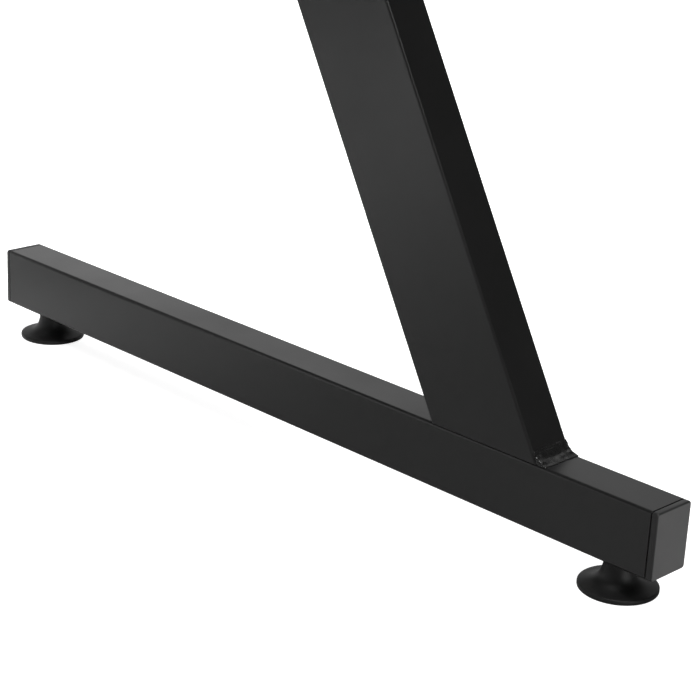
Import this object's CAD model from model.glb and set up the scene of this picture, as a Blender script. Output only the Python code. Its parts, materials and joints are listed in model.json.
import json
import math

import bpy
import bmesh
import numpy as np
from mathutils import Matrix, Vector, noise
from mathutils.bvhtree import BVHTree

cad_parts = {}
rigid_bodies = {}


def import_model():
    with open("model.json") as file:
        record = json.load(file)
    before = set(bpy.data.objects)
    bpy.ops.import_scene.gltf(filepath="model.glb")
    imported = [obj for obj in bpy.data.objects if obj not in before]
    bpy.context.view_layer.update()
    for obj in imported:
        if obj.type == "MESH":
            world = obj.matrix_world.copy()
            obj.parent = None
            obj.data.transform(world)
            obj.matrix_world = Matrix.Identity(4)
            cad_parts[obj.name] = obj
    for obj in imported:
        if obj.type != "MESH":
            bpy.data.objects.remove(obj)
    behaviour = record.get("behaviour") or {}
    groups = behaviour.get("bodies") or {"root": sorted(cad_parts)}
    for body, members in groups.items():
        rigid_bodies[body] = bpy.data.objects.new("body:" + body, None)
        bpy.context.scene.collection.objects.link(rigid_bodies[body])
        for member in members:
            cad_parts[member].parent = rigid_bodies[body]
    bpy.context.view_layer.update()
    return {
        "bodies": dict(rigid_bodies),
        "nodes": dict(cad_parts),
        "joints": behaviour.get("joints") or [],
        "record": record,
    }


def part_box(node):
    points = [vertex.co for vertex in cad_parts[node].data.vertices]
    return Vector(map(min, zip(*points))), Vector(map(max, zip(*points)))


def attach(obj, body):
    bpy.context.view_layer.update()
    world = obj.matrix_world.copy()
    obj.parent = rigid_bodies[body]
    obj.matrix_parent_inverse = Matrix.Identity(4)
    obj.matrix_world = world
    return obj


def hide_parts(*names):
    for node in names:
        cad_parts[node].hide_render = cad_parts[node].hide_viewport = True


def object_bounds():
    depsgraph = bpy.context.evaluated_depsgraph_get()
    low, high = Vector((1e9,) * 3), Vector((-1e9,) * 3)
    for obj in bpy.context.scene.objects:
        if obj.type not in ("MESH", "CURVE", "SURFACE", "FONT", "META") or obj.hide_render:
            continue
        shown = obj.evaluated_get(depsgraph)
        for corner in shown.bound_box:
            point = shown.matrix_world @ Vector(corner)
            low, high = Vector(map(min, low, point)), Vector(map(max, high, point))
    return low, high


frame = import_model()
REC = frame["record"]
NODES = frame["nodes"]
scene = bpy.context.scene
coll = scene.collection

# ------------------------------------------------------------------ frames of reference
JOINTS = {j["name"]: j for j in frame["joints"]}
PIVOT = Vector(JOINTS["tilt"]["pos_m"])
LY = Vector(JOINTS["headrest_slide"]["axis"]).normalized()
LX = Vector((1.0, 0.0, 0.0))
LZ = LX.cross(LY).normalized()
BED = Matrix((
    (LX.x, LY.x, LZ.x, PIVOT.x),
    (LX.y, LY.y, LZ.y, PIVOT.y),
    (LX.z, LY.z, LZ.z, PIVOT.z),
    (0, 0, 0, 1)))
BEDI = BED.inverted()


def cad_local(node, inv):
    """Lowest and highest corner of a CAD node in another frame."""
    co = np.array([inv @ v.co for v in NODES[node].data.vertices], float)
    return co.min(0), co.max(0)


# ------------------------------------------------------------------ node-graph helper
class Graph:
    def __init__(self, name):
        self.m = bpy.data.materials.new(name)
        self.m.use_nodes = True
        self.t = self.m.node_tree
        self.t.nodes.clear()
        self.out = self.t.nodes.new("ShaderNodeOutputMaterial")
        tc = self.t.nodes.new("ShaderNodeTexCoord")
        self.obj = tc.outputs["Object"]
        self.nrm = self.t.nodes.new("ShaderNodeNewGeometry").outputs["Normal"]

    def add(self, kind, ins=None, **props):
        n = self.t.nodes.new(kind)
        for k, v in props.items():
            setattr(n, k, v)
        for k, v in (ins or {}).items():
            sock = n.inputs[k]
            if isinstance(v, bpy.types.NodeSocket):
                self.t.links.new(v, sock)
            else:
                sock.default_value = v
        return n

    def noise(self, scale, detail=2.0, rough=0.5, vec=None, dist=0.0):
        return self.add("ShaderNodeTexNoise", {"Vector": vec or self.obj, "Scale": scale, "Detail": detail, "Roughness": rough,
                                               "Distortion": dist}).outputs["Fac"]

    def voronoi(self, scale, feature="F1", vec=None, rand=1.0, out="Distance"):
        n = self.add("ShaderNodeTexVoronoi", {"Vector": vec or self.obj, "Scale": scale, "Randomness": rand}, feature=feature)
        return n.outputs[out]

    def map(self, v, a, b, c, d, clamp=True, smooth=False):
        return self.add("ShaderNodeMapRange", {"Value": v, "From Min": a, "From Max": b, "To Min": c, "To Max": d},
                        clamp=clamp, interpolation_type="SMOOTHSTEP" if smooth else "LINEAR").outputs["Result"]

    def math(self, op, a, b=0.0, clamp=False):
        n = self.add("ShaderNodeMath", operation=op, use_clamp=clamp)
        for i, v in enumerate((a, b)):
            if isinstance(v, bpy.types.NodeSocket):
                self.t.links.new(v, n.inputs[i])
            else:
                n.inputs[i].default_value = v
        return n.outputs[0]

    def mix(self, fac, a, b):
        n = self.add("ShaderNodeMix", data_type="RGBA")
        for i, v in ((0, fac), (6, a), (7, b)):
            if isinstance(v, bpy.types.NodeSocket):
                self.t.links.new(v, n.inputs[i])
            else:
                n.inputs[i].default_value = v if i == 0 else (*v[:3], 1.0)
        return n.outputs[2]

    def bump(self, height, strength, dist, normal=None):
        ins = {"Height": height, "Strength": strength, "Distance": dist}
        if normal is not None:
            ins["Normal"] = normal
        return self.add("ShaderNodeBump", ins).outputs["Normal"]

    def bevel(self, radius):
        return self.add("ShaderNodeBevel", {"Radius": radius}, samples=4).outputs["Normal"]

    def edge(self, bevel_normal):
        """Mask of worn edges: where the rounded normal leaves the true one."""
        d = self.add("ShaderNodeVectorMath", {0: bevel_normal, 1: self.nrm}, operation="DOT_PRODUCT").outputs["Value"]
        return self.map(d, 0.985, 0.80, 0.0, 1.0)

    def shade(self, **ins):
        p = self.add("ShaderNodeBsdfPrincipled", {k.replace("_", " "): v for k, v in ins.items()})
        self.t.links.new(p.outputs[0], self.out.inputs[0])
        return self.m


def grey(v, warm=0.0):
    return (v * (1 + warm), v, v * (1 - warm), 1.0)


def powder_coat(name, base=0.0042, rough=0.35, peel=0.10, edge_r=0.0009):
    g = Graph(name)
    bev = g.bevel(edge_r)
    worn = g.edge(bev)
    cloud = g.noise(7.0, 3.0)
    fine = g.noise(2600.0, 1.0)
    peel_h = g.noise(720.0, 2.0, 0.55)
    speck = g.map(g.voronoi(1500.0), 0.0, 0.35, 1.0, 0.0)
    h = g.math("ADD", g.math("MULTIPLY", peel_h, 1.0), g.math("MULTIPLY", fine, 0.25))
    n = g.bump(h, peel, 0.00025, bev)
    col = g.mix(g.map(cloud, 0.35, 0.7, 0.0, 1.0), grey(base), grey(base * 1.18, 0.01))
    col = g.mix(g.math("MULTIPLY", worn, g.map(g.noise(160.0, 3.0), 0.45, 0.65, 0.05, 0.45)), col, grey(base * 3.2))
    r = g.math("ADD", g.map(cloud, 0.3, 0.7, rough - 0.035, rough + 0.035), g.math("MULTIPLY", speck, 0.06))
    r = g.math("ADD", r, g.math("MULTIPLY", worn, -0.05))
    return g.shade(Base_Color=col, Roughness=r, Normal=n, Specular_IOR_Level=0.5)


def cap_plastic(name, face=0.092, rim=0.011, rough=0.50, grain=1100.0):
    """Moulded tube cap: a grained end face, and a smoother, darker rim where it meets the tube."""
    g = Graph(name)
    n_y = g.math("ABSOLUTE", g.add("ShaderNodeSeparateXYZ", {0: g.nrm}).outputs[1])
    on_face = g.map(n_y, 0.80, 0.975, 0.0, 1.0)
    vor = g.voronoi(grain, "SMOOTH_F1")
    h = g.math("ADD", g.map(vor, 0.0, 0.7, 1.0, 0.0), g.math("MULTIPLY", g.noise(grain * 2.3, 2.0), 0.4))
    n = g.bump(g.math("MULTIPLY", h, g.map(on_face, 0.0, 1.0, 0.3, 1.0)), 0.14, 0.0002, g.bevel(0.0006))
    cloud = g.noise(30.0, 4.0, 0.6)
    col = g.mix(g.map(cloud, 0.35, 0.7, 0.0, 1.0), grey(face * 0.93), grey(face * 1.10, 0.008))
    col = g.mix(on_face, grey(rim), col)
    r = g.math("ADD", g.map(cloud, 0.3, 0.7, rough - 0.04, rough + 0.05), g.map(on_face, 0.0, 1.0, -0.10, 0.0))
    return g.shade(Base_Color=col, Roughness=r, Normal=n, Specular_IOR_Level=0.45)


def plastic(name, base=0.05, rough=0.45, grain=900.0, depth=0.12, edge_r=0.0007, wear=0.35):
    g = Graph(name)
    bev = g.bevel(edge_r)
    worn = g.edge(bev)
    vor = g.voronoi(grain, "SMOOTH_F1")
    h = g.math("ADD", g.map(vor, 0.0, 0.7, 1.0, 0.0), g.math("MULTIPLY", g.noise(grain * 2.3, 2.0), 0.4))
    n = g.bump(h, depth, 0.0002, bev)
    cloud = g.noise(14.0, 3.0)
    col = g.mix(cloud, grey(base * 0.92), grey(base * 1.08, 0.01))
    col = g.mix(g.math("MULTIPLY", worn, wear), col, grey(base * 1.7))
    r = g.map(cloud, 0.3, 0.7, rough - 0.04, rough + 0.05)
    return g.shade(Base_Color=col, Roughness=r, Normal=n, Specular_IOR_Level=0.45)


def rubber(name, base=0.011, rough=0.72, scale=1300.0, spec=0.35):
    g = Graph(name)
    bev = g.bevel(0.0006)
    h = g.math("ADD", g.noise(scale, 3.0, 0.6), g.math("MULTIPLY", g.noise(90.0, 2.0), 0.5))
    n = g.bump(h, 0.16, 0.0002, bev)
    dust = g.map(g.noise(55.0, 4.0, 0.6), 0.48, 0.75, 0.0, 1.0)
    sep = g.add("ShaderNodeSeparateXYZ", {0: g.nrm}).outputs[2]
    dust = g.math("MULTIPLY", dust, g.map(sep, 0.1, 0.9, 0.0, 0.5))
    col = g.mix(dust, grey(base), grey(base * 2.2, 0.04))
    return g.shade(Base_Color=col, Roughness=g.math("ADD", g.map(g.noise(30.0), 0.3, 0.7, rough - 0.05, rough + 0.05),
                   g.math("MULTIPLY", dust, 0.1)), Normal=n, Specular_IOR_Level=spec)


def foam(name, base=0.017):
    g = Graph(name)
    pores = g.voronoi(620.0, "F1")
    small = g.voronoi(1500.0, "F1")
    pit = g.math("ADD", g.map(pores, 0.0, 0.42, 0.0, 1.0, smooth=True), g.math("MULTIPLY", g.map(small, 0.0, 0.4, 0.0, 1.0), 0.45))
    n = g.bump(pit, 0.34, 0.0004)
    blot = g.noise(26.0, 3.0)
    col = g.mix(g.map(pit, 0.2, 1.2, 0.0, 1.0), grey(base * 0.45), grey(base * 1.25))
    col = g.mix(g.map(blot, 0.45, 0.75, 0.0, 0.4), col, grey(base * 1.9, 0.02))
    return g.shade(Base_Color=col, Roughness=g.map(blot, 0.3, 0.7, 0.80, 0.92), Normal=n, Specular_IOR_Level=0.3,
                   Sheen_Weight=0.12, Sheen_Roughness=0.5)


def metal(name, base, rough, brushed=None, blotch=0.06, edge_r=0.0005, dirt=0.0):
    """A bare or plated metal, with fine scratches along one axis of the piece when brushed is given."""
    g = Graph(name)
    bev = g.bevel(edge_r)
    vec = g.obj
    if brushed is not None:
        vec = g.add("ShaderNodeMapping", {"Vector": g.obj, "Scale": brushed}).outputs[0]
    scratch = g.noise(1.0 if brushed is not None else 900.0, 3.0, 0.65, vec)
    smudge = g.noise(38.0, 3.0, 0.6)
    h = g.math("ADD", scratch, g.math("MULTIPLY", g.noise(260.0, 2.0), 0.3))
    n = g.bump(h, 0.05, 0.0002, bev)
    r = g.math("ADD", g.map(smudge, 0.35, 0.7, rough, rough + blotch), g.math("MULTIPLY", scratch, 0.04))
    c0 = tuple(base)
    col = g.mix(g.map(smudge, 0.4, 0.75, 0.0, 1.0), c0, tuple(x * 0.90 for x in c0))
    if dirt:
        col = g.mix(g.map(g.noise(70.0, 4.0), 0.5, 0.72, 0.0, dirt), col, (0.09, 0.085, 0.075))
    return g.shade(Base_Color=col, Metallic=1.0, Roughness=r, Normal=n)


def vinyl(name, base=0.019, scale=430.0):
    """Upholstery vinyl: a leather grain of rounded cells with creases between them."""
    g = Graph(name)
    warp = g.noise(90.0, 2.0)
    wv = g.add("ShaderNodeVectorMath", {0: g.obj, 1: g.add("ShaderNodeCombineXYZ", {
        0: g.math("MULTIPLY", warp, 0.0016), 1: g.math("MULTIPLY", warp, -0.0013), 2: g.math("MULTIPLY", warp, 0.0011)}).outputs[0]},
        operation="ADD").outputs[0]
    cells = g.voronoi(scale, "DISTANCE_TO_EDGE", wv)
    big = g.voronoi(scale * 0.36, "DISTANCE_TO_EDGE", wv)
    h = g.math("ADD", g.map(cells, 0.0, 0.16, 0.0, 1.0, smooth=True), g.math("MULTIPLY", g.map(big, 0.0, 0.10, 0.0, 1.0, smooth=True), 0.7))
    h = g.math("ADD", h, g.math("MULTIPLY", g.noise(scale * 4.0, 2.0), 0.25))
    wrinkle = g.map(g.noise(20.0, 3.0, 0.55, dist=0.6), 0.35, 0.7, 0.0, 1.0)
    n = g.bump(wrinkle, 0.10, 0.0012)
    n = g.bump(h, 0.17, 0.00028, n)
    cloud = g.noise(9.0, 3.0)
    col = g.mix(g.map(h, 0.2, 1.6, 0.0, 1.0), grey(base * 0.6), grey(base * 1.15))
    col = g.mix(g.map(cloud, 0.4, 0.7, 0.0, 0.5), col, grey(base * 1.35, 0.015))
    r = g.math("ADD", g.map(cloud, 0.3, 0.7, 0.40, 0.50), g.map(h, 0.2, 1.6, 0.10, 0.0))
    return g.shade(Base_Color=col, Roughness=r, Normal=n, Specular_IOR_Level=0.5, Sheen_Weight=0.04, Sheen_Roughness=0.4)


def thread(name, base=0.05):
    g = Graph(name)
    tw = g.add("ShaderNodeTexWave", {"Vector": g.obj, "Scale": 900.0, "Distortion": 1.5, "Detail": 1.0}).outputs["Fac"]
    return g.shade(Base_Color=g.mix(tw, grey(base * 0.6), grey(base * 1.4)), Roughness=0.6, Normal=g.bump(tw, 0.4, 0.0003),
                   Specular_IOR_Level=0.35, Sheen_Weight=0.2)


def stained_board(name):
    """Stained plywood: dark face with an open grain, and the plies showing on its edges."""
    g = Graph(name)
    inv = g.add("ShaderNodeMapping", {"Vector": g.obj, "Rotation": (-math.atan2(LY.z, LY.y), 0.0, 0.0)}, vector_type="POINT").outputs[0]
    st = g.add("ShaderNodeMapping", {"Vector": inv, "Scale": (1.0, 0.07, 1.0)}).outputs[0]
    grain = g.noise(230.0, 5.0, 0.65, st, 0.4)
    pores = g.map(g.noise(900.0, 2.0, 0.5, st), 0.56, 0.66, 0.0, 1.0)
    z = g.add("ShaderNodeSeparateXYZ", {0: inv}).outputs[2]
    ply = g.math("FRACT", g.math("MULTIPLY", z, 1.0 / 0.0034))
    side = g.map(g.math("ABSOLUTE", g.add("ShaderNodeVectorMath", {0: g.nrm, 1: tuple(LZ)}, operation="DOT_PRODUCT").outputs["Value"]),
                 0.3, 0.8, 1.0, 0.0)
    face = g.mix(g.map(grain, 0.3, 0.7, 0.0, 1.0), grey(0.012, 0.10), grey(0.030, 0.14))
    face = g.mix(pores, face, grey(0.006))
    edge = g.mix(g.map(ply, 0.42, 0.58, 0.0, 1.0), (0.10, 0.068, 0.040), (0.045, 0.028, 0.016))
    col = g.mix(side, face, edge)
    h = g.math("ADD", grain, g.math("MULTIPLY", pores, -1.2))
    n = g.bump(h, 0.22, 0.0004, g.bevel(0.0009))
    return g.shade(Base_Color=col, Roughness=g.map(grain, 0.3, 0.7, 0.5, 0.68), Normal=n, Specular_IOR_Level=0.4)


def weld_coat(name):
    g = Graph(name)
    pit = g.noise(420.0, 3.0, 0.6)
    n = g.bump(g.math("ADD", pit, g.math("MULTIPLY", g.noise(130.0, 2.0), 0.7)), 0.12, 0.0005)
    return g.shade(Base_Color=g.mix(pit, grey(0.0045), grey(0.007)), Roughness=g.map(pit, 0.3, 0.7, 0.22, 0.31), Normal=n,
                   Specular_IOR_Level=0.5)


M = {
    "frame_paint": powder_coat("satin_powder_coat", edge_r=0.0011),
    "ankle_paint": powder_coat("ankle_powder_coat", base=0.0055, rough=0.42, peel=0.16),
    "weld": weld_coat("gloss_over_weld"),
    "cap_plastic": cap_plastic("moulded_cap"),
    "knob_plastic": plastic("moulded_knob", base=0.016, rough=0.50, grain=800.0, depth=0.2),
    "foot_rubber": rubber("moulded_foot", base=0.0064, rough=0.48, spec=0.30),
    "bumper_rubber": rubber("bumper_rubber", base=0.010, rough=0.78, scale=900.0),
    "tread_rubber": rubber("tread_rubber", base=0.012, rough=0.74),
    "foam": foam("closed_cell_foam"),
    "grip": rubber("grip_rubber", base=0.011, rough=0.66, scale=1700.0),
    "zinc": metal("zinc_plate", (0.56, 0.55, 0.52), 0.34, dirt=0.25, blotch=0.12),
    "bush": metal("sintered_bronze", (0.50, 0.33, 0.16), 0.42, blotch=0.1),
    "chrome": metal("hard_chrome", (0.58, 0.585, 0.60), 0.11, blotch=0.06),
    "vinyl": vinyl("black_vinyl"),
    "piping": vinyl("piping_vinyl", base=0.013, scale=560.0),
    "thread": thread("stitching_thread", base=0.075),
    "board": stained_board("stained_plywood"),
}

SLOT = {s["node"]: s["material_slot"] for s in REC["subparts"]}
for name, o in NODES.items():
    o.data.materials.clear()
    o.data.materials.append(M[SLOT[name]])


def split_material(node, test, second):
    """Gives the faces of a CAD node whose centre passes the test a second material."""
    me = NODES[node].data
    me.materials.append(M[second])
    for p in me.polygons:
        if test(BEDI @ p.center):
            p.material_index = 1


# The pull pins are plated rods with a moulded knob
split_material("height_pin", lambda c: c.z < -0.0002, "zinc")
split_material("tilt_limit_pin", lambda c: c.x < -0.2741, "zinc")
split_material("clamp_pin", lambda c: c.x < 0.0619, "zinc")

# ------------------------------------------------------------------ mesh helpers


def new_mesh(name, verts, faces, mat, smooth=True, matrix=None):
    me = bpy.data.meshes.new(name)
    if matrix is not None:
        verts = [tuple(matrix @ Vector(v)) for v in verts]
    me.from_pydata([tuple(v) for v in verts], [], faces)
    me.validate()
    me.update()
    o = bpy.data.objects.new(name, me)
    coll.objects.link(o)
    me.materials.append(mat)
    if smooth:
        me.polygons.foreach_set("use_smooth", [True] * len(me.polygons))
    return o


def fix_normals(o):
    bm = bmesh.new()
    bm.from_mesh(o.data)
    bmesh.ops.recalc_face_normals(bm, faces=bm.faces)
    bm.to_mesh(o.data)
    bm.free()


def smooth_by_angle(o, deg=35):
    """Smooth shading with the edges above an angle kept sharp."""
    bm = bmesh.new()
    bm.from_mesh(o.data)
    for f in bm.faces:
        f.smooth = True
    for e in bm.edges:
        if len(e.link_faces) == 2 and e.calc_face_angle(0.0) > math.radians(deg):
            e.smooth = False
    bm.to_mesh(o.data)
    bm.free()


def catmull(points, per=8):
    """A smooth line through 2-D points; a point given twice stays a sharp corner."""
    out = []
    n = len(points)
    for i in range(n - 1):
        p1, p2 = np.array(points[i], float), np.array(points[i + 1], float)
        if np.allclose(p1, p2):
            continue
        p0 = np.array(points[i - 1], float) if i > 0 else p1 * 2 - p2
        p3 = np.array(points[i + 2], float) if i + 2 < n else p2 * 2 - p1
        if np.allclose(p0, p1):
            p0 = p1 * 2 - p2
        if np.allclose(p3, p2):
            p3 = p2 * 2 - p1
        for k in range(per):
            t = k / per
            out.append(0.5 * ((2 * p1) + (-p0 + p2) * t + (2 * p0 - 5 * p1 + 4 * p2 - p3) * t * t + (-p0 + 3 * p1 - 3 * p2 + p3) * t ** 3))
    out.append(np.array(points[-1], float))
    return [tuple(p) for p in out]


def lathe(name, profile, mat, matrix, seg=96, closed=False, wobble=None):
    """Turns a profile of (radius, height) about +Z. A closed profile is a ring; an open one starts and ends on the axis."""
    verts, faces = [], []
    rings = []
    for i, (r, z) in enumerate(profile):
        if r < 1e-7 and not closed:
            rings.append([len(verts)])
            verts.append((0.0, 0.0, z))
            continue
        ring = []
        for k in range(seg):
            a = 2 * math.pi * k / seg
            rr, zz = (r, z) if wobble is None else wobble(r, z, a)
            ring.append(len(verts))
            verts.append((rr * math.cos(a), rr * math.sin(a), zz))
        rings.append(ring)
    pairs = list(zip(rings[:-1], rings[1:]))
    if closed:
        pairs.append((rings[-1], rings[0]))
    for a, b in pairs:
        for k in range(seg):
            k2 = (k + 1) % seg
            if len(a) == 1 and len(b) > 1:
                faces.append((a[0], b[k2], b[k]))
            elif len(b) == 1 and len(a) > 1:
                faces.append((a[k], a[k2], b[0]))
            elif len(a) > 1:
                faces.append((a[k], a[k2], b[k2], b[k]))
    o = new_mesh(name, verts, faces, mat, True, matrix)
    fix_normals(o)
    return o


def axis_matrix(origin, z_dir, x_hint=(0, 0, 1)):
    """A frame with +Z along z_dir at origin."""
    z = Vector(z_dir).normalized()
    x = Vector(x_hint)
    x = (x - z * x.dot(z))
    if x.length < 1e-6:
        x = Vector((1, 0, 0)) - z * z.x
    x.normalize()
    y = z.cross(x)
    return Matrix(((x.x, y.x, z.x, origin[0]), (x.y, y.y, z.y, origin[1]), (x.z, y.z, z.z, origin[2]), (0, 0, 0, 1)))


def join(name, objs):
    """Joins mesh objects into the first one's mesh, as separate closed shells."""
    bm = bmesh.new()
    mats = []
    for o in objs:
        start = len(bm.faces)
        bm.from_mesh(o.data)
        bm.faces.ensure_lookup_table()
        for m in o.data.materials:
            if m not in mats:
                mats.append(m)
        for f in bm.faces[start:]:
            f.material_index = mats.index(o.data.materials[f.material_index])
    me = bpy.data.meshes.new(name)
    bm.to_mesh(me)
    bm.free()
    for m in mats:
        me.materials.append(m)
    for o in objs:
        bpy.data.objects.remove(o)
    out = bpy.data.objects.new(name, me)
    coll.objects.link(out)
    return out


def place(o, body, slot_name, *nodes):
    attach(o, body)
    if nodes:
        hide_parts(*nodes)
    return o


# ------------------------------------------------------------------ levelling feet
rail_lo, rail_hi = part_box("right_floor_rail")
FOOT_H = rail_lo.z
for key in ("right_rear", "right_front", "left_rear", "left_front"):
    lo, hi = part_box("foot_pad_" + key)
    cx, cy = (lo.x + hi.x) / 2, (lo.y + hi.y) / 2
    R = (hi.x - lo.x) / 2
    top = hi.z
    s = 0.001
    line = [(0, 0), (R - 3.0 * s, 0), (R - 3.0 * s, 0)]
    line += [(R - 0.9 * s, 0.25 * s), (R - 0.1 * s, 1.1 * s), (R, 2.0 * s), (R, 3.8 * s), (R - 0.25 * s, 4.6 * s), (R - 1.2 * s, 5.3 * s),
             (R - 4 * s, 6.0 * s), (R - 9 * s, 7.2 * s), (R - 13.5 * s, 8.8 * s), (R - 17 * s, 11.0 * s), (R - 19.8 * s, 14.0 * s),
             (R - 22 * s, 18.5 * s), (R - 23.4 * s, 24.0 * s), (R - 24.0 * s, 29.0 * s), (R - 24.1 * s, top - 1.4 * s),
             (R - 24.5 * s, top - 0.5 * s), (R - 25.2 * s, top - 0.1 * s)]
    prof = catmull(line, 5)
    prof += [(6.4 * s, top), (6.1 * s, top - 0.4 * s), (6.1 * s, 12.6 * s), (0, 12.6 * s)]
    pad = lathe("foot_" + key, prof, M["foot_rubber"], Matrix.Translation((cx, cy, 0)), 128)
    smooth_by_angle(pad, 40)
    place(pad, "leveller_" + key, "foot_rubber", "foot_pad_" + key)

    # the stud, with its thread cut as a true helix
    slo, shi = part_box("foot_stud_" + key)
    r_out, r_in, pitch = (shi.x - slo.x) / 2, (shi.x - slo.x) / 2 - 0.95 * s, 1.75 * s
    seg, per = 40, 8
    n_rings = int((shi.z - slo.z - 3 * s) / pitch * per)
    rows = []
    for i in range(n_rings + 1):
        z0 = slo.z + 1.5 * s + (shi.z - slo.z - 3 * s) * i / n_rings
        rows.append(z0)
    verts, faces = [(cx, cy, slo.z)], []
    for ri, z0 in enumerate(rows):
        for k in range(seg):
            ph = ((z0 - slo.z) / pitch - k / seg) % 1.0
            saw = 1 - abs(2 * ph - 1)
            depth = min(1.0, max(0.0, (saw - 0.12) / 0.76))
            fade = min(1.0, ri / (per * 1.0), (n_rings - ri) / (per * 1.0))
            r = r_in + (r_out - r_in) * depth * fade
            a = 2 * math.pi * k / seg
            verts.append((cx + r * math.cos(a), cy + r * math.sin(a), z0))
    for k in range(seg):
        faces.append((0, 1 + (k + 1) % seg, 1 + k))
    for i in range(n_rings):
        for k in range(seg):
            a0, a1 = 1 + i * seg + k, 1 + i * seg + (k + 1) % seg
            faces.append((a0, a1, a1 + seg, a0 + seg))
    tip = len(verts)
    verts.append((cx, cy, shi.z))
    for k in range(seg):
        faces.append((1 + n_rings * seg + k, 1 + n_rings * seg + (k + 1) % seg, tip))
    stud = new_mesh("stud_" + key, verts, faces, M["zinc"])
    fix_normals(stud)
    smooth_by_angle(stud, 50)
    place(stud, "leveller_" + key, "zinc", "foot_stud_" + key)

# ------------------------------------------------------------------ moulded caps on rectangular tube


def rounded_rect(w, h, r, n=8):
    pts = []
    for cxs, cys, a0 in ((1, 1, 0), (-1, 1, 90), (-1, -1, 180), (1, -1, 270)):
        for k in range(n + 1):
            a = math.radians(a0 + 90 * k / n)
            pts.append((cxs * (w / 2 - r) + r * math.cos(a), cys * (h / 2 - r) + r * math.sin(a)))
    return pts


def cap_piece(name, w, h, t, wall, depth, mat, matrix, dome=0.0006):
    """A push-in tube cap: a flange with a shadow gap under it, rounded over to a slightly domed face, and a sleeve inside the tube."""
    s = 0.001
    layers = []  # (half-size inset, z, corner radius)
    layers += [(wall + 0.2 * s, -depth, 1.2 * s), (wall + 0.2 * s, 0.0, 1.2 * s)]
    layers += [(1.15 * s, 0.0, 2.6 * s), (1.10 * s, 0.65 * s, 2.6 * s), (0.85 * s, 1.05 * s, 2.9 * s), (0.30 * s, 1.35 * s, 3.2 * s), (0.04 * s, 1.55 * s, 3.5 * s)]
    layers += [(0.0, 1.9 * s, 3.5 * s)]
    zt = t - dome - 0.1 * s
    rad = 2.2 * s
    for k in range(8):
        a = math.radians(90 * k / 7)
        layers.append((rad * (1 - math.cos(a)), zt - rad + rad * math.sin(a), max(3.5 * s - rad * (1 - math.cos(a)) * 0.7, 1.6 * s)))
    for k in range(1, 9):
        f = k / 8
        layers.append((rad + (min(w, h) / 2 - rad - 1.5 * s) * f, zt + dome * math.sin(f * math.pi / 2), max(2.0 * s * (1 - f), 0.6 * s)))
    verts, faces, n = [], [], 0
    for ins, z, r in layers:
        ring = rounded_rect(w - 2 * ins, h - 2 * ins, r)
        n = len(ring)
        verts += [(x, y, z) for x, y in ring]
    for i in range(len(layers) - 1):
        for k in range(n):
            a, b = i * n + k, i * n + (k + 1) % n
            faces.append((a, b, b + n, a + n))
    faces.append(tuple(range(n))[::-1])
    last = (len(layers) - 1) * n
    faces.append(tuple(range(last, last + n)))
    o = new_mesh(name, verts, faces, mat, True, matrix)
    fix_normals(o)
    smooth_by_angle(o, 42)
    return o


lo_c, hi_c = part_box("rail_end_caps")
WALL = 0.0025
CAP_T = rail_lo.y - lo_c.y
rails = {"right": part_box("right_floor_rail"), "left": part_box("left_floor_rail")}
caps = []
for side, (lo, hi) in rails.items():
    for end, y in (("rear", hi.y), ("front", lo.y)):
        d = 1 if end == "rear" else -1
        mtx = axis_matrix(((lo.x + hi.x) / 2, y, (lo.z + hi.z) / 2), (0, d, 0), (1, 0, 0))
        caps.append(cap_piece(f"cap_{side}_{end}", hi.x - lo.x, hi.z - lo.z, CAP_T, WALL, 0.024, M["cap_plastic"], mtx))
rail_caps = join("moulded_rail_caps", caps)
place(rail_caps, "frame", "cap_plastic", "rail_end_caps")

# ------------------------------------------------------------------ weld beads
upc = np.array([v.co for v in NODES["right_upright"].data.vertices], float)
RAIL_TOP = rail_hi.z
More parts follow.
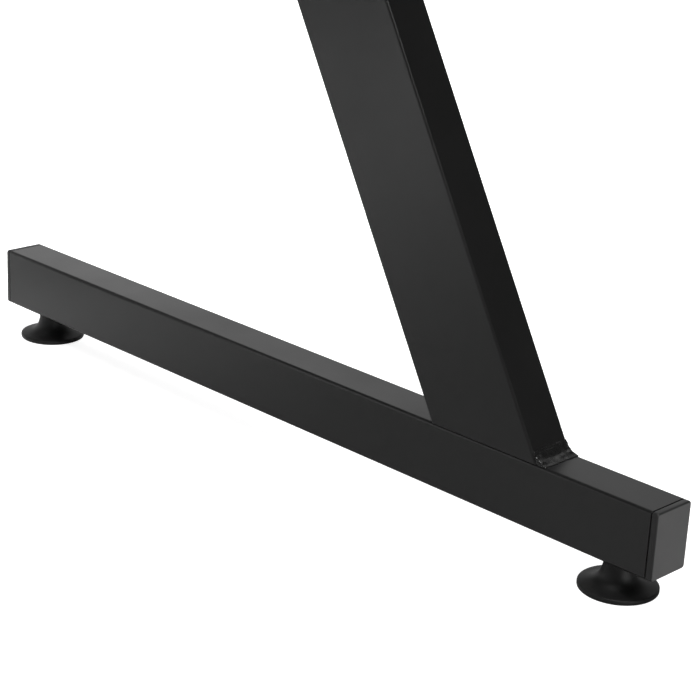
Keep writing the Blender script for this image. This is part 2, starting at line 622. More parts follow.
# rear edge of the upright at its foot, and the lean, from the CAD solid itself
foot_rear_y = upc[np.abs(upc[:, 2] - RAIL_TOP) < 5e-5][:, 1].max()
LEAN = math.radians(29.5)
up_dir = Vector((0, -math.sin(LEAN), math.cos(LEAN)))
beads = []
for side, (lo, hi) in rails.items():
    x0, x1 = lo.x + 0.0004, hi.x - 0.0004
    W = x1 - x0
    nu, nv = 120, 26
    corner = Vector((0, foot_rear_y + 0.00002, RAIL_TOP))
    verts, faces = [], []
    seed = 3.1 if side == "right" else 9.7
    # concave section between a toe on the rail (first) and a toe on the upright (last)
    section = catmull([(0.0110, 0.0), (0.0110, 0.0), (0.01085, 0.0005), (0.0100, 0.0010), (0.0082, 0.0015), (0.0052, 0.0026), (0.0017, 0.0042),
                       (-0.0011, 0.0062), (-0.0035, 0.0084), (-0.0053, 0.0106), (-0.0063, 0.0120), (-0.0070, 0.0126), (-0.0070, 0.0126)], 6)
    section = np.array(section)
    arc = np.concatenate([[0], np.cumsum(np.linalg.norm(np.diff(section, axis=0), axis=1))])
    arc /= arc[-1]
    for i in range(nu + 1):
        u = i / nu
        # rows crowd towards the two ends so that the rounded ends stay smooth
        u = 0.5 - 0.5 * math.cos(math.pi * u)
        x = x0 + W * u
        edge_d = min(u, 1 - u) * W
        toe_r = 1 + 0.10 * noise.noise(Vector((x * 95, seed, 0))) + 0.05 * noise.noise(Vector((x * 260, seed, 5)))
        toe_u = 1 + 0.12 * noise.noise(Vector((x * 80, seed, 21))) + 0.05 * noise.noise(Vector((x * 240, seed, 9)))
        for j in range(nv + 1):
            v = j / nv
            sy = float(np.interp(v, arc, section[:, 0]))
            sz = float(np.interp(v, arc, section[:, 1]))
            wall_y = -sz * math.tan(LEAN)
            out = max(sy - wall_y, 0.0)
            bulk = min(1.0, 4 * v * (1 - v) * 1.6)
            lumps = math.exp(-((v - 0.42) / 0.09) ** 2) + math.exp(-((v - 0.72) / 0.08) ** 2)
            # the run-out at each end is rounded over where a droplet froze, and nearly square between
            rnd = min(edge_d / (0.0011 + 0.0030 * min(1.0, lumps)), 1.0)
            end = math.sqrt(max(0.0, 1 - (1 - rnd) ** 2))
            lip = 0.0007 * math.exp(-((v - 0.90 - 0.05 * noise.noise(Vector((x * 110, seed, 30)))) / 0.045) ** 2)
            wave = 0.00125 * noise.noise(Vector((x * 62, v * 2.8, seed + 3))) + 0.00022 * noise.noise(Vector((x * 190, v * 5.0, seed + 8)))
            out = out * (toe_r * (1 - v) + toe_u * v) * (0.50 + 0.50 * end) + wave * bulk * end + 0.0016 * lumps * math.exp(-((edge_d - 0.0045) / 0.0030) ** 2) + lip * end
            z = sz * (0.50 + 0.50 * end) * (toe_r * (1 - v) + toe_u * v) ** 0.5 + wave * 0.6 * bulk * end
            z = max(z, 0.0)
            wall_y = -z * math.tan(LEAN)
            verts.append((x, corner.y + wall_y + max(out, 0.00002), corner.z + z))
    cols = nv + 1
    base = len(verts)
    for i in range(nu + 1):
        u = 0.5 - 0.5 * math.cos(math.pi * i / nu)
        verts.append((x0 + W * u, corner.y + 0.00001, corner.z))
    for i in range(nu):
        for j in range(nv):
            a = i * cols + j
            faces.append((a, a + 1, a + cols + 1, a + cols))
        faces.append((i * cols, (i + 1) * cols, base + i + 1, base + i))
        faces.append((i * cols + nv, base + i, base + i + 1, (i + 1) * cols + nv))
    faces.append(tuple([base] + [j for j in range(nv, -1, -1)]))
    faces.append(tuple([base + nu] + [nu * cols + j for j in range(nv + 1)]))
    b = new_mesh("bead_" + side, verts, faces, M["weld"])
    fix_normals(b)
    smooth_by_angle(b, 55)
    beads.append(b)
bead = join("rippled_weld_beads", beads)
place(bead, "frame", "weld", "weld_beads")

# ------------------------------------------------------------------ foam rollers and grips


def foam_sleeve(name, r_out, r_in, length, matrix, mat, edge=0.005, amp=0.00025, belly=0.0, seg=112, seed=1.0):
    prof = [(r_in, 0.0018), (r_in + 0.0012, 0.0004), (r_in + (r_out - r_in) * 0.35, -0.0), (r_out - edge, 0.0)]
    for k in range(1, 9):
        a = math.radians(90 * k / 8)
        prof.append((r_out - edge + edge * math.sin(a), edge - edge * math.cos(a)))
    steps = max(6, int(length / 0.006))
    for k in range(1, steps):
        z = edge + (length - 2 * edge) * k / steps
        prof.append((r_out - belly * (abs(2 * z / length - 1) ** 2), z))
    for k in range(9):
        a = math.radians(90 * k / 8)
        prof.append((r_out - edge + edge * math.cos(a), length - edge + edge * math.sin(a)))
    prof += [(r_in + (r_out - r_in) * 0.35, length), (r_in + 0.0012, length - 0.0004), (r_in, length - 0.0018)]

    def wob(r, z, a):
        if r < r_in + 0.002:
            return r, z
        d = noise.noise(Vector((r * math.cos(a) * 45, r * math.sin(a) * 45, z * 45 + seed))) * amp
        d += noise.noise(Vector((r * math.cos(a) * 160, r * math.sin(a) * 160, z * 160 + seed))) * amp * 0.5
        return min(r + d - amp * 0.5, r_out), z
    return lathe(name, prof, mat, matrix, seg, True, wob)


def along_x(node, frame_inv=BEDI):
    lo, hi = cad_local(node, frame_inv)
    return lo, hi


for node, body in (("rear_roller_right", "rear_roller_r"), ("rear_roller_left", "rear_roller_l"),
                   ("front_roller_right", "front_roller_r"), ("front_roller_left", "front_roller_l")):
    lo, hi = cad_local(node, BEDI)
    cy, cz = (lo[1] + hi[1]) / 2, (lo[2] + hi[2]) / 2
    R = (hi[1] - lo[1]) / 2
    local = axis_matrix((lo[0], cy, cz), (1, 0, 0), (0, 0, 1))
    piece = foam_sleeve("foam_" + node, R, 0.0081, hi[0] - lo[0], BED @ local, M["foam"], edge=0.006, belly=0.0007, seed=lo[0] * 30 + cy)
    place(piece, body, "foam", node)

grips = []
glo = np.array([v.co for v in NODES["grab_grips"].data.vertices], float)
plug = np.array([v.co for v in NODES["grab_plugs"].data.vertices], float)
for sx in (-1, 1):
    for ey in (-1, 1):
        mid_y = (glo[:, 1].min() + glo[:, 1].max()) / 2
        part = glo[(np.sign(glo[:, 0]) == sx) & ((glo[:, 1] > mid_y) == (ey > 0))]
        lo, hi = part.min(0), part.max(0)
        # the last straights of the rail run level, along Y
        r = (hi[2] - lo[2]) / 2
        c = ((lo[0] + hi[0]) / 2, (lo[1] + hi[1]) / 2, (lo[2] + hi[2]) / 2)
        mtx = axis_matrix((c[0], lo[1], c[2]), (0, 1, 0), (0, 0, 1))
        grips.append((lo, hi, r, mtx))
        g_ = foam_sleeve(f"grip_{sx}_{ey}", r, 0.0161, hi[1] - lo[1], mtx, M["foam"], edge=0.0032, amp=0.00018, belly=0.0002, seg=80, seed=sx * 3 + ey)
        grips[-1] = g_
grab_foam = join("grab_rail_foam_grips", grips)
place(grab_foam, "frame", "foam", "grab_grips")

# the clamp handle's moulded grip, ribbed where the fingers go
lo, hi = cad_local("clamp_grip", BEDI)
cz = (lo[2] + hi[2]) / 2
L = hi[1] - lo[1]
s = 0.001
prof = [(0.0, 0.0), (9 * s, 0.0), (13 * s, 1.0 * s), (15.4 * s, 3.2 * s), (16 * s, 7 * s), (15.3 * s, 12 * s)]
z = 14 * s
while z < L - 22 * s:
    base_r = (13.6 + 0.9 * math.sin((z * 1000 - 14) / 30.0)) * s
    for dz, dr in ((0.0, 0.0), (0.9, 0.0), (1.6, 0.75), (2.6, 1.0), (4.4, 1.0), (5.4, 0.75), (6.1, 0.0)):
        prof.append((base_r + dr * s, z + dz * s))
    z += 7.0 * s
prof += [(14.4 * s, L - 14 * s), (16.2 * s, L - 9.5 * s), (17.4 * s, L - 6.0 * s), (17.4 * s, L - 3.2 * s), (16.0 * s, L - 1.0 * s), (13.4 * s, L - 0.1 * s), (0.0, L)]
grip = lathe("ribbed_clamp_grip", prof, M["grip"], BED @ axis_matrix((0, hi[1], cz), (0, -1, 0), (1, 0, 0)), 72)
smooth_by_angle(grip, 50)
place(grip, "clamp", "foam", "clamp_grip")

# ------------------------------------------------------------------ upholstery


def outline(w, a, b, r, step=0.006):
    """Points of a rounded rectangle from y a to y b, evenly spaced, with outward normals."""
    pts = []
    hw, L_ = w / 2, b - a
    segs = [("l", (hw, a + r), (hw, b - r)), ("a", (hw - r, b - r), 0), ("l", (hw - r, b), (-hw + r, b)), ("a", (-hw + r, b - r), 90),
            ("l", (-hw, b - r), (-hw, a + r)), ("a", (-hw + r, a + r), 180), ("l", (-hw + r, a), (hw - r, a)), ("a", (hw - r, a + r), 270)]
    for kind, p, q in segs:
        if kind == "l":
            d = math.hypot(q[0] - p[0], q[1] - p[1])
            n = max(2, int(d / step))
            nx, ny = (q[1] - p[1]) / d, -(q[0] - p[0]) / d
            for k in range(n):
                t = k / n
                pts.append((p[0] + (q[0] - p[0]) * t, p[1] + (q[1] - p[1]) * t, nx, ny))
        else:
            n = max(3, int(r * math.pi / 2 / step))
            for k in range(n):
                t = math.radians(q + 90 * k / n)
                pts.append((p[0] + r * math.cos(t), p[1] + r * math.sin(t), math.cos(t), math.sin(t)))
    return pts


def rr_dist(x, y, w, a, b, r):
    """Signed distance to a rounded rectangle, negative inside."""
    cx, cy = 0.0, (a + b) / 2
    qx, qy = abs(x - cx) - (w / 2 - r), abs(y - cy) - ((b - a) / 2 - r)
    return math.hypot(max(qx, 0), max(qy, 0)) + min(max(qx, qy), 0) - r


def slab(name, w, a, b, r, z0, z1, edge, mat):
    """A plain closed slab with rounded top and bottom edges, to be remeshed."""
    pts = outline(w, a, b, r, 0.012)
    layers = []
    for k in range(5):
        t = math.radians(90 * k / 4)
        layers.append((edge * (1 - math.sin(t)), z0 + edge * (1 - math.cos(t))))
    for k in range(5):
        t = math.radians(90 * k / 4)
        layers.append((edge * (1 - math.cos(t)), z1 - edge * (1 - math.sin(t))))
    verts, faces = [], []
    n = len(pts)
    for ins, z in layers:
        verts += [(x - nx * ins, y - ny * ins, z) for x, y, nx, ny in pts]
    for i in range(len(layers) - 1):
        for k in range(n):
            k2 = (k + 1) % n
            faces.append((i * n + k, i * n + k2, (i + 1) * n + k2, (i + 1) * n + k))
    faces.append(tuple(range(n))[::-1])
    m = (len(layers) - 1) * n
    faces.append(tuple(range(m, m + n)))
    o = new_mesh(name, verts, faces, mat)
    fix_normals(o)
    return o


def apply_modifiers(o):
    dg = bpy.context.evaluated_depsgraph_get()
    me = bpy.data.meshes.new_from_object(o.evaluated_get(dg))
    o.modifiers.clear()
    o.data = me


def remesh(o, voxel):
    m = o.modifiers.new("voxels", "REMESH")
    m.mode = "VOXEL"
    m.voxel_size = voxel
    apply_modifiers(o)


def coords(o):
    co = np.zeros(len(o.data.vertices) * 3)
    o.data.vertices.foreach_get("co", co)
    return co.reshape(-1, 3)


def set_coords(o, co):
    o.data.vertices.foreach_set("co", np.ascontiguousarray(co, dtype=np.float32).ravel())
    o.data.update()


def inflate(o, pinned, cap, pressure=4.0, frames=20):
    """Cloth under pressure, with some points held, and a cap on how far any point moves."""
    before = coords(o)
    vg = o.vertex_groups.new(name="pin")
    vg.add([int(i) for i in np.nonzero(pinned)[0]], 1.0, "REPLACE")
    c = o.modifiers.new("cloth", "CLOTH")
    st = c.settings
    st.quality = 4
    st.mass = 0.25
    st.tension_stiffness = 18
    st.compression_stiffness = 18
    st.shear_stiffness = 6
    st.bending_stiffness = 0.6
    st.use_pressure = True
    st.uniform_pressure_force = pressure
    st.vertex_group_mass = "pin"
    st.effector_weights.gravity = 0
    c.collision_settings.use_collision = False
    c.point_cache.frame_start = 1
    c.point_cache.frame_end = frames
    scene.frame_start, scene.frame_end = 1, frames
    for f in range(1, frames + 1):
        scene.frame_set(f)
    apply_modifiers(o)
    scene.frame_set(1)
    after = coords(o)
    d = after - before
    ln = np.linalg.norm(d, axis=1)
    k = np.where(ln > cap, cap / np.maximum(ln, 1e-9), 1.0)
    set_coords(o, before + d * k[:, None])


def subdivide(o, levels=1):
    m = o.modifiers.new("sub", "SUBSURF")
    m.levels = levels
    m.render_levels = levels
    apply_modifiers(o)


def cord(name, pts, radius, mat, seg=10, closed=True, normals=None):
    """A round cord swept along points."""
    n = len(pts)
    P = [Vector(p) for p in pts]
    verts, faces = [], []
    for i in range(n):
        prev_, next_ = (P[i - 1], P[(i + 1) % n]) if closed else (P[max(i - 1, 0)], P[min(i + 1, n - 1)])
        t = (next_ - prev_).normalized()
        ref = Vector((0, 0, 1)) if normals is None else Vector(normals[i])
        a = ref - t * ref.dot(t)
        if a.length < 1e-6:
            a = Vector((1, 0, 0)) - t * t.x
        a.normalize()
        b = t.cross(a)
        for k in range(seg):
            th = 2 * math.pi * k / seg
            verts.append(tuple(P[i] + a * (radius * math.cos(th)) + b * (radius * math.sin(th))))
    for i in range(n if closed else n - 1):
        j = (i + 1) % n
        for k in range(seg):
            k2 = (k + 1) % seg
            faces.append((i * seg + k, i * seg + k2, j * seg + k2, j * seg + k))
    if not closed:
        faces.append(tuple(range(seg))[::-1])
        faces.append(tuple(range((n - 1) * seg, n * seg)))
    o = new_mesh(name, verts, faces, mat)
    fix_normals(o)
    return o


def stitches(name, samples, length, radius, mat):
    """Short thread loops, each a sunk-ended capsule, from (position, direction, normal)."""
    verts, faces = [], []
    prof = ((-0.5, 0.25, -1.3), (-0.40, 0.8, -0.35), (-0.2, 1.0, 0.12), (0.0, 1.02, 0.28), (0.2, 1.0, 0.12), (0.40, 0.8, -0.35), (0.5, 0.25, -1.3))
    seg = 6
    for p, d, nrm in samples:
        p, d, nrm = Vector(p), Vector(d).normalized(), Vector(nrm).normalized()
        b = d.cross(nrm).normalized()
        base = len(verts)
        for t, rr, lift in prof:
            c = p + d * (t * length) + nrm * (lift * radius)
            for k in range(seg):
                th = 2 * math.pi * k / seg
                verts.append(tuple(c + nrm * (rr * radius * math.cos(th)) + b * (rr * radius * math.sin(th))))
        for i in range(len(prof) - 1):
            for k in range(seg):
                k2 = (k + 1) % seg
                faces.append((base + i * seg + k, base + i * seg + k2, base + (i + 1) * seg + k2, base + (i + 1) * seg + k))
        faces.append(tuple(base + k for k in range(seg))[::-1])
        faces.append(tuple(base + (len(prof) - 1) * seg + k for k in range(seg)))
    o = new_mesh(name, verts, faces, mat)
    fix_normals(o)
    return o


def surface(o):
    bm = bmesh.new()
    bm.from_mesh(o.data)
    tree = BVHTree.FromBMesh(bm)
    bm.free()
    return tree


# backrest pad: a boxed cushion with sewn channels across it and a piped edge
plo, phi = cad_local("backrest_pad", BEDI)
PW, PA, PB, PZ0, PZ1 = phi[0] - plo[0], plo[1], phi[1], plo[2], phi[2]
PR = 0.070
CH = [PA + 0.150 + 0.148 * k for k in range(5)]
CAPD = 0.008
pad = slab("backrest_cushion", PW - 0.012, PA + 0.006, PB - 0.006, PR - 0.006, PZ0, PZ1 - 0.0075, 0.010, M["vinyl"])
remesh(pad, 0.0065)
co = coords(pad)


def channel_depth(x, y):
    d = 0.0
    for c in CH:
        d = max(d, math.exp(-((y - c) / 0.0085) ** 2))
    return d


top_z = PZ1 - 0.0075
ch = np.array([channel_depth(x, y) for x, y, _ in co])
edge_in = np.array([-rr_dist(x, y, PW - 0.012, PA + 0.006, PB - 0.006, PR - 0.006) for x, y, _ in co])
is_top = co[:, 2] > top_z - 0.004
fade = np.clip(edge_in / 0.020, 0, 1)
co[:, 2] -= np.where(is_top, 0.0062 * ch * fade, 0.0)
set_coords(pad, co)
pins = (co[:, 2] < PZ0 + 0.0015) | (is_top & (ch > 0.80))
seam_ring = (edge_in < 0.0045) & (co[:, 2] > top_z - 0.016) & (co[:, 2] < top_z - 0.004)
inflate(pad, pins, CAPD, 4.0)
co = coords(pad)
co[:, 2] = np.maximum(co[:, 2], PZ0 + 0.0003)
co[:, 2] = np.minimum(co[:, 2], PZ1)
set_coords(pad, co)
subdivide(pad)
# the seam pulls the cover in along the top edge, and the stitch lines cut narrow creases
co = coords(pad)
SEAM_Z = PZ1 - 0.0145
new = co.copy()
for i, (x, y, z) in enumerate(co):
    din = -rr_dist(x, y, PW, PA, PB, PR)
    if z > PZ0 + 0.004:
        pull = math.exp(-((z - SEAM_Z) / 0.0042) ** 2) * math.exp(-max(din, 0) / 0.010)
        if pull > 0.02:
            gx = rr_dist(x + 1e-4, y, PW, PA, PB, PR) - rr_dist(x - 1e-4, y, PW, PA, PB, PR)
            gy = rr_dist(x, y + 1e-4, PW, PA, PB, PR) - rr_dist(x, y - 1e-4, PW, PA, PB, PR)
            gl = math.hypot(gx, gy) or 1.0
            pucker = 0.75 + 0.25 * math.sin((x * 1.0 + y * 1.3) * 2 * math.pi / 0.021)
            new[i, 0] -= gx / gl * 0.0030 * pull * pucker
            new[i, 1] -= gy / gl * 0.0030 * pull * pucker
    if z > PZ1 - 0.022:
        for c in CH:
            e = math.exp(-((y - c) / 0.0030) ** 2)
            if e > 0.02:
                f = min(max((din - 0.004) / 0.015, 0), 1)
                tug = 0.8 + 0.2 * math.sin(x * 2 * math.pi / 0.0175)
                new[i, 2] -= 0.0024 * e * f * tug
set_coords(pad, new)
pad.data.transform(BED)
pad.data.polygons.foreach_set("use_smooth", [True] * len(pad.data.polygons))
pad.data.materials.clear()
pad.data.materials.append(M["vinyl"])
fix_normals(pad)
place(pad, "bed", "vinyl", "backrest_pad")

tree = surface(pad)


def on_pad(x, y):
    """Point and normal on the cushion's top, below a bed-local x and y, in the row frame."""
    o_ = BED @ Vector((x, y, 0.12))
    hit = tree.ray_cast(o_, -LZ)
    return hit[0], hit[1]


ring = outline(PW, PA, PB, PR, 0.004)
cord_pts = []
for x, y, nx, ny in ring:
    o_ = BED @ Vector((x + nx * 0.05, y + ny * 0.05, SEAM_Z))
    d_ = (BED.to_3x3() @ Vector((-nx, -ny, 0))).normalized()
    hit = tree.ray_cast(o_, d_)
    p = hit[0] if hit[0] is not None else BED @ Vector((x, y, SEAM_Z))
    q = BEDI @ p
    # the cord sits half sunk in the seam and never stands proud of the pad's own outline
    out = rr_dist(q.x, q.y, PW, PA, PB, PR)
    shift = min(0.0006, -out - 0.0021)
    cord_pts.append(tuple(BED @ Vector((q.x + nx * shift, q.y + ny * shift, SEAM_Z))))
for _ in range(3):
    a_ = np.array(cord_pts)
    a_ = (np.roll(a_, 1, 0) + 2 * a_ + np.roll(a_, -1, 0)) / 4
    cord_pts = [tuple(p) for p in a_]
piping = cord("backrest_piping", cord_pts, 0.0023, M["piping"], 10, True, [tuple(LZ)] * len(cord_pts))
place(piping, "bed", "vinyl")

samples = []
for c in CH:
    for off in (-0.0038, 0.0038):
        x = -PW / 2 + 0.022
        while x < PW / 2 - 0.022:
            p, n_ = on_pad(x, c + off)
            if p is not None:
                samples.append((p, LX, n_))
            x += 0.0062
for x, y, nx, ny in outline(PW - 0.030, PA + 0.015, PB - 0.015, PR - 0.015, 0.0062):
    p, n_ = on_pad(x, y)
    if p is not None:
        samples.append((p, BED.to_3x3() @ Vector((-ny, nx, 0)), n_))
st_ = stitches("backrest_stitching", samples, 0.0046, 0.00042, M["thread"])
place(st_, "bed", "vinyl")

# headrest: a small knife-edged pillow
hlo, hhi = cad_local("headrest_pad", BEDI)
HW, HA, HB, HZ0, HZ1 = hhi[0] - hlo[0], hlo[1], hhi[1], hlo[2], hhi[2]
HR = 0.035
pil = slab("headrest_cushion", HW - 0.014, HA + 0.007, HB - 0.007, HR - 0.005, HZ0, HZ1 - 0.011, 0.010, M["vinyl"])
remesh(pil, 0.005)
co = coords(pil)
inflate(pil, co[:, 2] < HZ0 + 0.0012, 0.012, 5.0)
co = coords(pil)
co[:, 2] = np.clip(co[:, 2], HZ0 + 0.0002, HZ1)
set_coords(pil, co)
subdivide(pil)
co = coords(pil)
HS = HZ0 + 0.0135
new = co.copy()
for i, (x, y, z) in enumerate(co):
    din = -rr_dist(x, y, HW, HA, HB, HR)
    pull = math.exp(-((z - HS) / 0.0036) ** 2) * math.exp(-max(din, 0) / 0.012)
    if pull > 0.02:
        gx = rr_dist(x + 1e-4, y, HW, HA, HB, HR) - rr_dist(x - 1e-4, y, HW, HA, HB, HR)
        gy = rr_dist(x, y + 1e-4, HW, HA, HB, HR) - rr_dist(x, y - 1e-4, HW, HA, HB, HR)
        gl = math.hypot(gx, gy) or 1.0
        pucker = 0.65 + 0.35 * math.sin((x * 1.1 + y * 0.9) * 2 * math.pi / 0.017)
        new[i, 0] -= gx / gl * 0.0034 * pull * pucker
        new[i, 1] -= gy / gl * 0.0034 * pull * pucker
set_coords(pil, new)
pil.data.transform(BED)
pil.data.polygons.foreach_set("use_smooth", [True] * len(pil.data.polygons))
pil.data.materials.clear()
pil.data.materials.append(M["vinyl"])
fix_normals(pil)
place(pil, "headrest", "vinyl", "headrest_pad")
tree_h = surface(pil)
cp = []
for x, y, nx, ny in outline(HW, HA, HB, HR, 0.003):
    o_ = BED @ Vector((x + nx * 0.05, y + ny * 0.05, HS))
    d_ = (BED.to_3x3() @ Vector((-nx, -ny, 0))).normalized()
    hit = tree_h.ray_cast(o_, d_)
    p = hit[0] if hit[0] is not None else BED @ Vector((x, y, HS))
    q = BEDI @ p
    shift = min(0.0006, -rr_dist(q.x, q.y, HW, HA, HB, HR) - 0.0018)
    cp.append(tuple(BED @ Vector((q.x + nx * shift, q.y + ny * shift, HS))))
for _ in range(3):
    a_ = np.array(cp)
    a_ = (np.roll(a_, 1, 0) + 2 * a_ + np.roll(a_, -1, 0)) / 4
    cp = [tuple(p) for p in a_]
pil_cord = cord("headrest_piping", cp, 0.0019, M["piping"], 10, True, [tuple(LZ)] * len(cp))
place(pil_cord, "headrest", "vinyl")

# ------------------------------------------------------------------ floor, light and camera
scene.view_settings.view_transform = "Standard"
scene.view_settings.look = "None"
lo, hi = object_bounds()
C0 = (lo + hi) / 2


def stage_material():
    """A pale studio sweep. It is lit like any matt floor; a little self-light, seen by the camera only, carries it to paper white."""
    g = Graph("pale_floor")
    cloud = g.noise(3.0, 3.0)
    y = g.add("ShaderNodeSeparateXYZ", {0: g.obj}).outputs[1]
    x = g.add("ShaderNodeSeparateXYZ", {0: g.obj}).outputs[0]
    tone = g.map(y, 0.9, -1.1, 0.30, 0.90, smooth=True)
    tone = g.math("MULTIPLY", tone, g.map(cloud, 0.3, 0.7, 0.985, 1.015))
    colour = g.add("ShaderNodeCombineColor", {0: tone, 1: tone, 2: tone}).outputs[0]
    dif = g.add("ShaderNodeBsdfDiffuse", {"Color": colour}).outputs[0]
    far = g.add("ShaderNodeVectorMath", {0: g.obj}, operation="LENGTH").outputs["Value"]
    lift = g.map(far, 1.2, 5.0, 0.77, 1.0, smooth=True)
    lift = g.math("ADD", lift, g.map(y, 0.9, -1.1, 0.26, 0.0, smooth=True))
    cam = g.add("ShaderNodeLightPath").outputs["Is Camera Ray"]
    em = g.add("ShaderNodeEmission", {"Color": (1, 1, 1, 1), "Strength": g.math("MULTIPLY", lift, cam)}).outputs[0]
    both = g.add("ShaderNodeAddShader", {0: dif, 1: em}).outputs[0]
    g.t.links.new(both, g.out.inputs[0])
    return g.m


bm = bmesh.new()
bmesh.ops.create_circle(bm, cap_ends=True, segments=96, radius=40.0)
me = bpy.data.meshes.new("floor")
bm.to_mesh(me)
bm.free()
floor = bpy.data.objects.new("floor", me)
coll.objects.link(floor)
floor.location = (C0.x, C0.y, -0.0003)
me.materials.append(stage_material())

world = bpy.data.worlds.new("studio")
scene.world = world
world.use_nodes = True
wt = world.node_tree
wt.nodes.clear()
w_out = wt.nodes.new("ShaderNodeOutputWorld")
bg_cam = wt.nodes.new("ShaderNodeBackground")
bg_cam.inputs[0].default_value = (1, 1, 1, 1)
bg_cam.inputs[1].default_value = 1.0
bg = wt.nodes.new("ShaderNodeBackground")
lp = wt.nodes.new("ShaderNodeLightPath")
mixs = wt.nodes.new("ShaderNodeMixShader")
wt.links.new(lp.outputs["Is Camera Ray"], mixs.inputs[0])
wt.links.new(bg.outputs[0], mixs.inputs[1])
wt.links.new(bg_cam.outputs[0], mixs.inputs[2])
wt.links.new(mixs.outputs[0], w_out.inputs[0])
# a studio whose front wall is bright at eye level and falls off with height and towards the rear
tcw = wt.nodes.new("ShaderNodeTexCoord")
sepw = wt.nodes.new("ShaderNodeSeparateXYZ")
wt.links.new(tcw.outputs["Generated"], sepw.inputs[0])


def wmap(sock, a, b, c, d, smooth=False):
    n = wt.nodes.new("ShaderNodeMapRange")
    n.interpolation_type = "SMOOTHSTEP" if smooth else "LINEAR"
    for k, v in (("From Min", a), ("From Max", b), ("To Min", c), ("To Max", d)):
        n.inputs[k].default_value = v
    wt.links.new(sock, n.inputs["Value"])
    return n.outputs[0]


def wmath(op, a, b):
    n = wt.nodes.new("ShaderNodeMath")
    n.operation = op
    for i, v in enumerate((a, b)):
        if isinstance(v, bpy.types.NodeSocket):
            wt.links.new(v, n.inputs[i])
        else:
            n.inputs[i].default_value = v
    return n.outputs[0]


height = wmap(sepw.outputs[2], 0.31, 0.63, 0.95, 0.03)
ceiling = wmap(sepw.outputs[2], 0.84, 0.97, 0.0, 0.85, True)
depth = wmap(sepw.outputs[1], 0.55, -0.45, 0.10, 1.0, True)
left = wmap(sepw.outputs[0], -0.85, -0.60, 0.55, 1.10)
wall = wmath("MULTIPLY", wmath("MULTIPLY", height, depth), left)
wt.links.new(wmath("ADD", wall, wmath("ADD", ceiling, 0.03)), bg.inputs[1])
bg.inputs[0].default_value = (1, 1, 1, 1)


def area(name, loc, target, size, power, size_y=None):
    ld = bpy.data.lights.new(name, "AREA")
    ld.energy = power
    ld.size = size
    if size_y:
        ld.shape = "RECTANGLE"
        ld.size_y = size_y
    ob = bpy.data.objects.new(name, ld)
    coll.objects.link(ob)
    ob.location = loc
    ob.rotation_euler = (Vector(target) - Vector(loc)).to_track_quat("-Z", "Y").to_euler()
    ob.visible_camera = False
    return ob


# the overhead panel lights the matt surfaces; what polished ones mirror above them is the dimmer ceiling in the world
area("overhead_softbox", (C0.x + 0.2, C0.y - 0.25, 4.6), (C0.x, C0.y, 0.3), 4.3, 292.0).visible_glossy = False
area("key_softbox", (C0.x + 0.55, C0.y + 2.3, 2.8), (C0.x, C0.y, 0.4), 0.5, 20.0)
area("spot_panel", (C0.x + 0.35, C0.y + 0.9, 4.0), (C0.x + 0.3, C0.y + 0.3, 0.2), 0.5, 24.0)
area("low_fill", (C0.x + 0.1, C0.y + 2.5, 0.20), (C0.x + 0.2, C0.y, 0.20), 1.4, 11.0, 0.34)
area("side_softbox", (C0.x - 2.4, C0.y - 0.1, 2.9), (C0.x, C0.y, 0.3), 1.3, 5.0)

# camera: the photograph's own viewpoint, fitted to the straight edges of the rail and upright
F_PX = 1864.89
cam_data = bpy.data.cameras.new("camera")
cam_data.sensor_width = 36.0
cam_data.lens = F_PX * 36.0 / 700.0
cam_data.clip_start = 0.01
cam_data.clip_end = 200.0
cam = bpy.data.objects.new("camera", cam_data)
coll.objects.link(cam)
scene.camera = cam
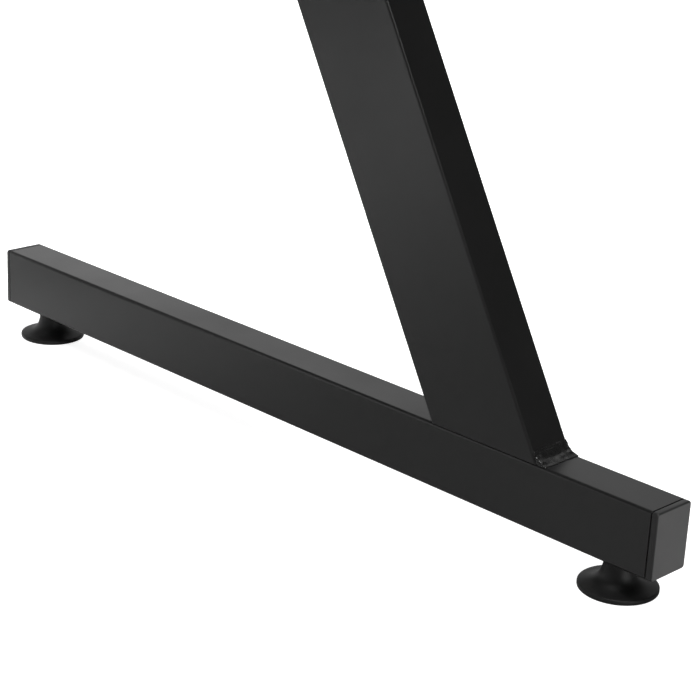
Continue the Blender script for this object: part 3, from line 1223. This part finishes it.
# counted from the rear face of the rail nearest the camera, where the photograph's straight edges meet
CAM_LOC = Vector((0.99251, hi_c.y + 0.89492, 0.80625))
CAM_RIGHT = Vector((-0.71406, 0.69853, 0.04651))
CAM_FWD = Vector((-0.67003, -0.66266, -0.33460)).normalized()
cx_ = (CAM_RIGHT - CAM_FWD * CAM_RIGHT.dot(CAM_FWD)).normalized()
cz_ = -CAM_FWD
cy_ = cz_.cross(cx_)
CAM_ROT = Matrix(((cx_.x, cy_.x, cz_.x), (cx_.y, cy_.y, cz_.y), (cx_.z, cy_.z, cz_.z)))
cam.matrix_world = Matrix.Translation(CAM_LOC) @ CAM_ROT.to_4x4()

# At rest the camera is the photograph's own, close to the base. The moving parts lie outside that view, so when any body
# leaves its rest place the camera backs away along its own line of sight until the whole machine is in the picture.
wide = bpy.data.objects.new("wide_view", None)
coll.objects.link(wide)
wide.matrix_world = Matrix.Translation(Vector((0.0, 0.0, 0.83)) - CAM_FWD * 6.7) @ CAM_ROT.to_4x4()
anchor = bpy.data.objects.new("rest_anchor", None)
coll.objects.link(anchor)
con = cam.constraints.new("COPY_TRANSFORMS")
con.target = wide
con.influence = 0.0
curve = con.driver_add("influence")
drv = curve.driver
drv.type = "MAX"
for body in frame["bodies"]:
    empty = bpy.data.objects.get("body:" + body)
    if empty is None or body == "frame":
        continue
    var = drv.variables.new()
    var.name = "moved_" + body
    var.type = "LOC_DIFF"
    var.targets[0].id = anchor
    var.targets[1].id = empty
for mod in list(curve.modifiers):
    curve.modifiers.remove(mod)
gen = curve.modifiers.new("GENERATOR")
gen.poly_order = 1
gen.coefficients = (0.0, 2000.0)
lim = curve.modifiers.new("LIMITS")
lim.use_min_y = lim.use_max_y = True
lim.min_y, lim.max_y = 0.0, 1.0

# The machine stands on its feet: when a levelling foot is screwed out, the floor is where that foot now reaches
curve = floor.driver_add("location", 2)
drv = curve.driver
drv.type = "MIN"
for key in ("right_rear", "right_front", "left_rear", "left_front"):
    var = drv.variables.new()
    var.name = "foot_" + key
    var.type = "TRANSFORMS"
    var.targets[0].id = bpy.data.objects["body:leveller_" + key]
    var.targets[0].transform_type = "LOC_Z"
    var.targets[0].transform_space = "WORLD_SPACE"
for mod in list(curve.modifiers):
    curve.modifiers.remove(mod)
gen = curve.modifiers.new("GENERATOR")
gen.poly_order = 1
gen.coefficients = (-0.0003, 1.0)
